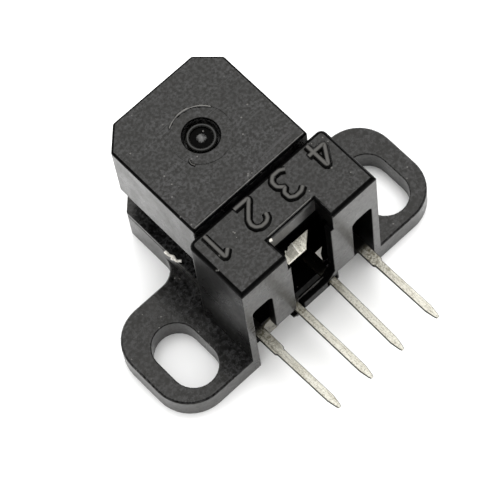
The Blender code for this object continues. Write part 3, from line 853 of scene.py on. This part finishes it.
def makeArmMoulding():
    ringBottom = armHigh.z - mouldingOf["ringDepth"]

    def nearRing(vert):
        away = fromLensAxis(vert.co)
        return mouldingOf["ringInside"] < away < mouldingOf["ringOutside"] and vert.co.z > ringBottom

    def outsideRing(edge):
        return not (nearRing(edge.verts[0]) or nearRing(edge.verts[1]))

    # Faces inside the collar get painted shade
    def inCollar(centre, normal):
        return centre.y < plateLow.y - mouldingOf["wallSkin"]

    bm = solidOf("emitter_housing")
    # The marked ring is a shallow groove, so its floor comes up
    for vert in bm.verts:
        if nearRing(vert) and vert.co.z < armHigh.z - mouldingOf["ringLip"]:
            vert.co.z = armHigh.z - mouldingOf["ringFloor"]
    softenEdges(bm, mouldingOf["armRound"], chosen=outsideRing, clamp=False)
    mesh = finishMesh(bm, "armMoulding")
    paintFaces(mesh, armBlack, ((innerShadeBlack, inCollar), (edgeShadeBlack, onRoundEdge)))
    piece = placePiece("armMoulding", mesh, None)
    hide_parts("emitter_housing")


makeFrameMoulding()
makeArmMoulding()
dressNode("detector_window_plate", "windowPlate", black, mouldingOf["plateRound"])
print("mouldings made")


# Terminals and inner leads
terminalOf = {
    "round": 0.055 * mm,
    "roundSteps": 3,
    "leadRound": 0.03 * mm,
}

for node, name, metal in (("ground_terminal", "terminalOne", leadMetal),
                          ("channel_a_terminal", "terminalTwo", leadMetal),
                          ("supply_terminal", "terminalThree", leadMetal),
                          ("channel_b_terminal", "terminalFour", stainedMetal)):
    dressNode(node, name, metal, terminalOf["round"], terminalOf["roundSteps"])
for node, name, metal in (("emitter_anode_lead", "anodeLead", shadowedMetal),
                          ("emitter_cathode_lead", "cathodeLead", innerMetal)):
    dressNode(node, name, metal, terminalOf["leadRound"])
print("terminals made")


# Packages, chips and lens. The boss in the roof hole has a painted highlight on its dome and painted shade in
# the dish around it
packageOf = {
    "emitterRound": 0.03 * mm,
    "detectorRound": 0.04 * mm,
    "lensRound": 0.03 * mm,
    "lensSharpest": 60,
    "chipRound": 0.01 * mm,
    "dome": 0.24 * mm,
    "dish": 0.66 * mm,
    "dishDepth": 1.6 * mm,
}


# The dish around the dome gets painted shade
def inDish(centre, normal):
    away = fromLensAxis(centre)
    return packageOf["dome"] < away < packageOf["dish"] and centre.z > armHigh.z - packageOf["dishDepth"]


# The dome, which gets a painted highlight
def onDome(centre, normal):
    return fromLensAxis(centre) < packageOf["dome"] and centre.z > armHigh.z - packageOf["dishDepth"]


boss = dressNode("emitter_package", "emitterResin", smokedResin, packageOf["emitterRound"])
paintFaces(boss.data, smokedResin, ((innerShadeBlack, inDish), (paintedDomeHighlight, onDome)))
dressNode("detector_package", "detectorResin", clearResin, packageOf["detectorRound"])
dressNode("collimating_lens", "lens", clearResin, packageOf["lensRound"],
          sharpest=packageOf["lensSharpest"])
dressNode("led_chip", "emitterChip", silicon, packageOf["chipRound"])
dressNode("detector_chip", "detectorChip", silicon, packageOf["chipRound"])
for node in ("bond_wire_1", "bond_wire_2", "bond_wire_3", "bond_wire_4", "led_bond_wire"):
    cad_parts[node].data.materials.clear()
    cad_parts[node].data.materials.append(gold)
print("packages made")


# Geometry Nodes trees
def geometryTree(name, inputs):
    tree = bpy.data.node_groups.new(name, "GeometryNodeTree")
    tree.interface.new_socket(name="Geometry", in_out="INPUT", socket_type="NodeSocketGeometry")
    for label, kind, value in inputs:
        socket = tree.interface.new_socket(name=label, in_out="INPUT", socket_type=kind)
        socket.default_value = value
    tree.interface.new_socket(name="Material", in_out="INPUT", socket_type="NodeSocketMaterial")
    tree.interface.new_socket(name="Geometry", in_out="OUTPUT", socket_type="NodeSocketGeometry")
    return tree, addNode(tree, "NodeGroupInput"), addNode(tree, "NodeGroupOutput")


def endTree(tree, inside, out, geometry):
    whole = addNode(tree, "GeometryNodeRealizeInstances")
    paint = addNode(tree, "GeometryNodeSetMaterial")
    tree.links.new(geometry, whole.inputs[0])
    tree.links.new(whole.outputs[0], paint.inputs["Geometry"])
    tree.links.new(inside.outputs["Material"], paint.inputs["Material"])
    tree.links.new(paint.outputs[0], out.inputs["Geometry"])


# Runs a tree on a mesh of points and lines and keeps the result as a plain piece
def growPiece(name, tree, values, material, points=(), lines=(), place=None):
    seedMesh = bpy.data.meshes.new(name + "Host")
    seedMesh.from_pydata(points, lines, [])
    host = bpy.data.objects.new(name + "Host", seedMesh)
    bpy.context.scene.collection.objects.link(host)
    change = host.modifiers.new("grow", "NODES")
    change.node_group = tree
    values = dict(values, Material=material)
    for item in tree.interface.items_tree:
        if item.in_out == "INPUT" and item.name in values:
            change[item.identifier] = values[item.name]
    evaluated = host.evaluated_get(bpy.context.evaluated_depsgraph_get())
    mesh = bpy.data.meshes.new_from_object(evaluated)
    bpy.data.objects.remove(host)
    mesh.name = name
    if place:
        mesh.transform(place)
    return placePiece(name, mesh, material)


# A rounded ridge that follows a line, half sunk in the surface below it
ridgeOf = {
    "width": 0.4 * mm,
    "height": 0.14 * mm,
    "cornerRadius": 0.15 * mm,
    "cornerPoints": 5,
    "step": 0.06 * mm,
    "sides": 12,
    "roughScale": 2500.0,
}


def makeRidgeTree():
    tree, inside, out = geometryTree("raisedRidge", (
        ("Ridge Width", "NodeSocketFloat", ridgeOf["width"]),
        ("Ridge Height", "NodeSocketFloat", ridgeOf["height"]),
        ("Corner Radius", "NodeSocketFloat", ridgeOf["cornerRadius"]),
        ("Roughen", "NodeSocketFloat", 0.0),
        ("Seed", "NodeSocketFloat", 0.0)))
    path = addNode(tree, "GeometryNodeMeshToCurve")
    corner = addNode(tree, "GeometryNodeFilletCurve", mode="POLY")
    corner.inputs["Count"].default_value = ridgeOf["cornerPoints"]
    corner.inputs["Limit Radius"].default_value = True
    even = addNode(tree, "GeometryNodeResampleCurve", mode="LENGTH")
    even.inputs["Length"].default_value = ridgeOf["step"]
    wander = addNode(tree, "ShaderNodeTexNoise", noise_dimensions="4D")
    wander.inputs["Scale"].default_value = ridgeOf["roughScale"]
    centred = addNode(tree, "ShaderNodeMapRange")
    centred.inputs["To Min"].default_value = -1.0
    centred.inputs["To Max"].default_value = 1.0
    amount = addNode(tree, "ShaderNodeMath", operation="MULTIPLY_ADD")
    amount.inputs[2].default_value = 1.0
    ring = addNode(tree, "GeometryNodeCurvePrimitiveCircle")
    ring.inputs["Resolution"].default_value = ridgeOf["sides"]
    ring.inputs["Radius"].default_value = 0.5
    shape = addNode(tree, "ShaderNodeCombineXYZ")
    shape.inputs["Z"].default_value = 1.0
    squeeze = addNode(tree, "GeometryNodeTransform")
    double = addNode(tree, "ShaderNodeMath", operation="MULTIPLY")
    double.inputs[1].default_value = 2.0
    sweep = addNode(tree, "GeometryNodeCurveToMesh")
    sweep.inputs["Fill Caps"].default_value = True
    smooth = addNode(tree, "GeometryNodeSetShadeSmooth")
    tree.links.new(inside.outputs["Geometry"], path.inputs["Mesh"])
    tree.links.new(path.outputs["Curve"], corner.inputs["Curve"])
    tree.links.new(inside.outputs["Corner Radius"], corner.inputs["Radius"])
    tree.links.new(corner.outputs[0], even.inputs["Curve"])
    tree.links.new(inside.outputs["Seed"], wander.inputs["W"])
    tree.links.new(wander.outputs["Fac"], centred.inputs["Value"])
    tree.links.new(centred.outputs[0], amount.inputs[0])
    tree.links.new(inside.outputs["Roughen"], amount.inputs[1])
    tree.links.new(inside.outputs["Ridge Width"], shape.inputs["X"])
    tree.links.new(inside.outputs["Ridge Height"], double.inputs[0])
    tree.links.new(double.outputs[0], shape.inputs["Y"])
    tree.links.new(ring.outputs[0], squeeze.inputs["Geometry"])
    tree.links.new(shape.outputs[0], squeeze.inputs["Scale"])
    tree.links.new(even.outputs[0], sweep.inputs["Curve"])
    tree.links.new(squeeze.outputs[0], sweep.inputs["Profile Curve"])
    tree.links.new(amount.outputs[0], sweep.inputs["Scale"])
    tree.links.new(sweep.outputs[0], smooth.inputs[0])
    endTree(tree, inside, out, smooth.outputs[0])
    return tree


ridgeTree = makeRidgeTree()


def makeRidge(name, points, look, material, place=None):
    lines = [(i, i + 1) for i in range(len(points) - 1)]
    growPiece(name, ridgeTree, look, material, points, lines, place)


# Raised terminal numbers on the block, one stroke each, in shares of their height
numberOf = {
    "height": 1.75 * mm,
    "pitch": 2.54 * mm,
    "middleY": 0.15 * mm,
    "look": {"Ridge Width": 0.48 * mm, "Ridge Height": 0.17 * mm, "Corner Radius": 0.06 * mm},
    "strokes": {
        "1": ((0.0, 0.8), (0.25, 1.0), (0.25, 0.0)),
        "2": ((0.0, 0.76), (0.06, 0.92), (0.2, 1.0), (0.4, 1.0), (0.55, 0.9), (0.6, 0.74), (0.54, 0.56),
              (0.3, 0.3), (0.0, 0.0), (0.62, 0.0)),
        "3": ((0.0, 0.9), (0.16, 1.0), (0.4, 1.0), (0.56, 0.9), (0.57, 0.68), (0.44, 0.55), (0.24, 0.53),
              (0.46, 0.5), (0.6, 0.36), (0.6, 0.14), (0.44, 0.0), (0.16, 0.0), (0.0, 0.1)),
        "4": ((0.46, 0.0), (0.46, 1.0), (0.0, 0.3), (0.66, 0.3)),
    },
}


def makeNumbers():
    height = numberOf["height"]
    centreOfRow = (len(numberOf["strokes"]) - 1) / 2
    for i, (figure, stroke) in enumerate(numberOf["strokes"].items()):
        middle = (min(x for x, y in stroke) + max(x for x, y in stroke)) / 2
        points = [((x - middle) * height, (y - 0.5) * height, 0) for x, y in stroke]
        centre = ((i - centreOfRow) * numberOf["pitch"], numberOf["middleY"], blockHigh.z)
        place = Matrix.Translation(centre) @ Matrix.Rotation(math.pi, 4, "Z")
        makeRidge("raisedNumber" + figure, points, numberOf["look"], crestHighlightBlack, place=place)


makeNumbers()
print("numbers made")


# Thin pale ridges along three moulded edges and part of the ring: mould flash at the notch, and painted
# highlights along the arm's back edge, the web and the ring
flashAndHighlightOf = {
    "look": {"Ridge Width": 0.1 * mm, "Ridge Height": 0.04 * mm, "Roughen": 0.9},
    "armEdge": 4.05 * mm,
    "armBack": 0.13 * mm,
    "notchHalf": 1.62 * mm,
    "webHalf": 1.2 * mm,
    "webDepth": 0.38 * mm,
    "webTop": 3.2 * mm,
    "ringLook": {"Ridge Width": 0.15 * mm, "Ridge Height": 0.05 * mm, "Roughen": 1.4},
    "ringRadius": 1.8 * mm,
    "ringDegrees": (30, 122),
    "ringStep": 4,
}


def makeFlashAndHighlights():
    notchY = blockLow.y + mouldingOf["notchDepth"] + mouldingOf["notchRound"]
    routes = {
        "armEdgeHighlight": (flashAndHighlightOf["armEdge"], plateLow.y + flashAndHighlightOf["armBack"], armHigh.z),
        "flashNotch": (flashAndHighlightOf["notchHalf"], notchY, blockHigh.z),
        "webEdgeHighlight": (flashAndHighlightOf["webHalf"], blockLow.y + flashAndHighlightOf["webDepth"], flashAndHighlightOf["webTop"]),
    }
    for seed, (name, (half, y, z)) in enumerate(routes.items()):
        look = dict(flashAndHighlightOf["look"], Seed=float(seed))
        makeRidge(name, [(-half, y, z), (half, y, z)], look, burrAndHighlightGrey)


def makeRingHighlight():
    first, last = flashAndHighlightOf["ringDegrees"]
    arc = []
    for degrees in range(first, last + 1, flashAndHighlightOf["ringStep"]):
        turn = math.radians(degrees)
        arc.append((lensAxis.x + flashAndHighlightOf["ringRadius"] * math.cos(turn),
                    lensAxis.y + flashAndHighlightOf["ringRadius"] * math.sin(turn), armHigh.z))
    makeRidge("ringHighlight", arc, flashAndHighlightOf["ringLook"], burrAndHighlightGrey)


# A lump with an uneven skin, squeezed to a size
lumpOf = {
    "divisions": 3,
    "unevenness": 0.35,
    "noiseScale": 1.3,
}


def makeLump(name, centre, size, material, seed, slot="black_moulding"):
    bm = bmesh.new()
    bmesh.ops.create_icosphere(bm, subdivisions=lumpOf["divisions"], radius=1.0)
    for vert in bm.verts:
        bump = noise.noise(vert.co * lumpOf["noiseScale"] + Vector((seed, 0, 0)))
        vert.co *= 1 + lumpOf["unevenness"] * bump
        vert.co = Vector(centre) + Vector([a * b / 2 for a, b in zip(vert.co, size)])
    for face in bm.faces:
        face.smooth = True
    mesh = bpy.data.meshes.new(name)
    bm.to_mesh(mesh)
    bm.free()
    placePiece(name, mesh, material)


# A thin plate with the given outline, lying flat, or upright with its face to the back
def makePatch(name, outline, level, thick, material, slot="tinned_lead", upright=False):
    bm = bmesh.new()
    if upright:
        corners = [bm.verts.new((x * mm, level, z * mm)) for x, z in outline]
    else:
        corners = [bm.verts.new((x * mm, y * mm, level)) for x, y in outline]
    face = bm.faces.new(corners)
    raised = bmesh.ops.extrude_face_region(bm, geom=[face])["geom"]
    bmesh.ops.translate(bm, verts=[v for v in raised if isinstance(v, bmesh.types.BMVert)],
                        vec=(0, -thick, 0) if upright else (0, 0, thick))
    bmesh.ops.recalc_face_normals(bm, faces=bm.faces)
    placePiece(name, finishMesh(bm, name), material)


# Marks read from the picture. Outlines and routes are in mm
shelfTop = 8.2 * mm
flakeLook = {"Ridge Width": 0.2 * mm, "Ridge Height": 0.09 * mm, "Roughen": 0.9, "Corner Radius": 0.04 * mm}
markOf = {
    "patches": {
        # A painted highlight: the lit corner of the anode lead
        "anodeGlint": {
            "outline": ((1.23, -1.67), (1.23, -2.28), (1.42, -1.93), (1.78, -1.66)),
            "level": 4.6 * mm, "thick": 0.02 * mm, "material": litMetal,
        },
        # A black plate laid as painted shadow on the cathode lead, which gives its lit part its outline
        "cathodeShadowPlate": {
            "outline": ((-1.3, -1.45), (-0.38, -1.45), (-0.41, -1.52), (-0.71, -1.78), (-0.82, -1.67),
                        (-0.94, -1.84), (-1.3, -2.0)),
            "level": shelfTop + 0.005 * mm, "thick": 0.02 * mm, "material": innerShadeBlack,
            "slot": "black_moulding",
        },
        # Painted shade over the part of the cathode lead left of the fold
        "cathodeShade": {
            "outline": ((-0.27, -1.58), (-0.4, -2.34), (-0.94, -2.34), (-0.94, -1.84), (-0.7, -1.72)),
            "level": shelfTop + 0.002 * mm, "thick": 0.004 * mm, "material": shadedLeadTones,
        },
        # The first terminal's shoulder, seen standing in the left window
        "terminalShoulder": {
            "outline": ((-3.6, 1.6), (-3.6, 2.9), (-3.4, 3.3), (-2.9, 3.42), (-2.5, 3.2), (-2.5, 1.6)),
            "level": -2.3 * mm, "thick": 0.1 * mm, "material": darkOlivePlate, "upright": True,
        },
    },
    "lumps": {
        # A bright worn corner at the notch
        "cornerGlint": {
            "centre": (-1.6 * mm, -1.62 * mm, blockHigh.z - 0.02 * mm),
            "size": (0.2 * mm, 0.18 * mm, 0.08 * mm), "material": paleFlake, "seed": 5,
        },
        # A burr under the web
        "webBurr": {
            "centre": (-1.42 * mm, blockLow.y + 0.12 * mm, 2.24 * mm),
            "size": (0.3 * mm, 0.26 * mm, 0.3 * mm), "material": burrAndHighlightGrey, "seed": 7,
        },
    },
    "ridges": {
        # A fold line on the cathode lead, with a painted highlight along it
        "cathodeFold": {
            "route": ((-0.23, -1.6), (-0.36, -2.3)), "level": shelfTop,
            "look": {"Ridge Width": 0.07 * mm, "Ridge Height": 0.04 * mm, "Roughen": 0.6},
            "material": litMetal, "slot": "tinned_lead",
        },
        # A pale flake on the lower arm, with a short branch
        "flake": {
            "route": ((-4.31, 4.98), (-4.3, 4.66), (-4.18, 4.41), (-4.26, 4.11), (-4.04, 3.89)),
            "level": plateHigh.z, "look": flakeLook, "material": paleFlake, "slot": "black_moulding",
        },
        "flakeBranch": {
            "route": ((-4.18, 4.41), (-4.36, 4.34)),
            "level": plateHigh.z, "look": flakeLook, "material": paleFlake, "slot": "black_moulding",
        },
        # A nick by the ring
        "ringNick": {
            "route": ((-1.40, 4.98), (-1.52, 4.92), (-1.56, 4.72), (-1.46, 4.52)), "level": armHigh.z,
            "look": {"Ridge Width": 0.16 * mm, "Ridge Height": 0.07 * mm, "Corner Radius": 0.05 * mm},
            "material": crestHighlightBlack, "slot": "black_moulding",
        },
    },
}


def makeMarks():
    for name, patch in markOf["patches"].items():
        makePatch(name, **patch)
    for name, lump in markOf["lumps"].items():
        makeLump(name, **lump)
    for name, ridge in markOf["ridges"].items():
        points = [(x * mm, y * mm, ridge["level"]) for x, y in ridge["route"]]
        makeRidge(name, points, ridge["look"], ridge["material"])


makeFlashAndHighlights()
makeRingHighlight()
makeMarks()
print("flash and marks made")


# Photodiode bars on the detector chip, in two rows, and the ball bonds of its wires
diodeOf = {
    "count": 14,
    "rowStep": 0.68 * mm,
    "pitch": 0.11 * mm,
    "bar": (0.07 * mm, 0.56 * mm, 0.006 * mm),
    "wires": 4,
    "ballSize": 0.035 * mm,
    "ballRise": 0.02 * mm,
    "ballSquash": (1, 1, 0.6),
    "padPitch": 0.4 * mm,
}


def makeDiodeTree():
    tree, inside, out = geometryTree("diodeRow", (
        ("Count", "NodeSocketInt", diodeOf["count"]),
        ("Pitch", "NodeSocketFloat", diodeOf["pitch"]),
        ("Bar Size", "NodeSocketVector", diodeOf["bar"])))
    row = addNode(tree, "GeometryNodeMeshLine", mode="OFFSET", count_mode="TOTAL")
    step = addNode(tree, "ShaderNodeCombineXYZ")
    bar = addNode(tree, "GeometryNodeMeshCube")
    onPoints = addNode(tree, "GeometryNodeInstanceOnPoints")
    tree.links.new(inside.outputs["Count"], row.inputs["Count"])
    tree.links.new(inside.outputs["Pitch"], step.inputs["X"])
    tree.links.new(step.outputs[0], row.inputs["Offset"])
    tree.links.new(inside.outputs["Bar Size"], bar.inputs["Size"])
    tree.links.new(row.outputs[0], onPoints.inputs["Points"])
    tree.links.new(bar.outputs["Mesh"], onPoints.inputs["Instance"])
    endTree(tree, inside, out, onPoints.outputs[0])
    return tree


def makeBallTree():
    tree, inside, out = geometryTree("ballBond", (("Ball Size", "NodeSocketFloat", diodeOf["ballSize"]),))
    ball = addNode(tree, "GeometryNodeMeshIcoSphere")
    ball.inputs["Subdivisions"].default_value = 3
    squash = addNode(tree, "GeometryNodeTransform")
    squash.inputs["Scale"].default_value = diodeOf["ballSquash"]
    onPoints = addNode(tree, "GeometryNodeInstanceOnPoints")
    tree.links.new(inside.outputs["Ball Size"], ball.inputs["Radius"])
    tree.links.new(ball.outputs["Mesh"], squash.inputs["Geometry"])
    tree.links.new(inside.outputs["Geometry"], onPoints.inputs["Points"])
    tree.links.new(squash.outputs[0], onPoints.inputs["Instance"])
    endTree(tree, inside, out, onPoints.outputs[0])
    return tree


def makeDiodes():
    tree = makeDiodeTree()
    middle = (chipLow + chipHigh) / 2
    start = middle.x - (diodeOf["count"] - 1) * diodeOf["pitch"] / 2
    for row, name in ((-0.5, "diodeRowNear"), (0.5, "diodeRowFar")):
        place = Matrix.Translation((start, middle.y + row * diodeOf["rowStep"], chipHigh.z))
        growPiece(name, tree, {}, diodeBlue, place=place)


def makeBalls():
    tree = makeBallTree()
    centreOfRow = (diodeOf["wires"] - 1) / 2
    points = []
    for i in range(diodeOf["wires"]):
        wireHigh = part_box("bond_wire_%d" % (i + 1))[1]
        points.append(((i - centreOfRow) * diodeOf["padPitch"], wireHigh.y, chipHigh.z + diodeOf["ballRise"]))
    growPiece("ballBonds", tree, {}, gold, points)


makeDiodes()
makeBalls()
print("chip details made")
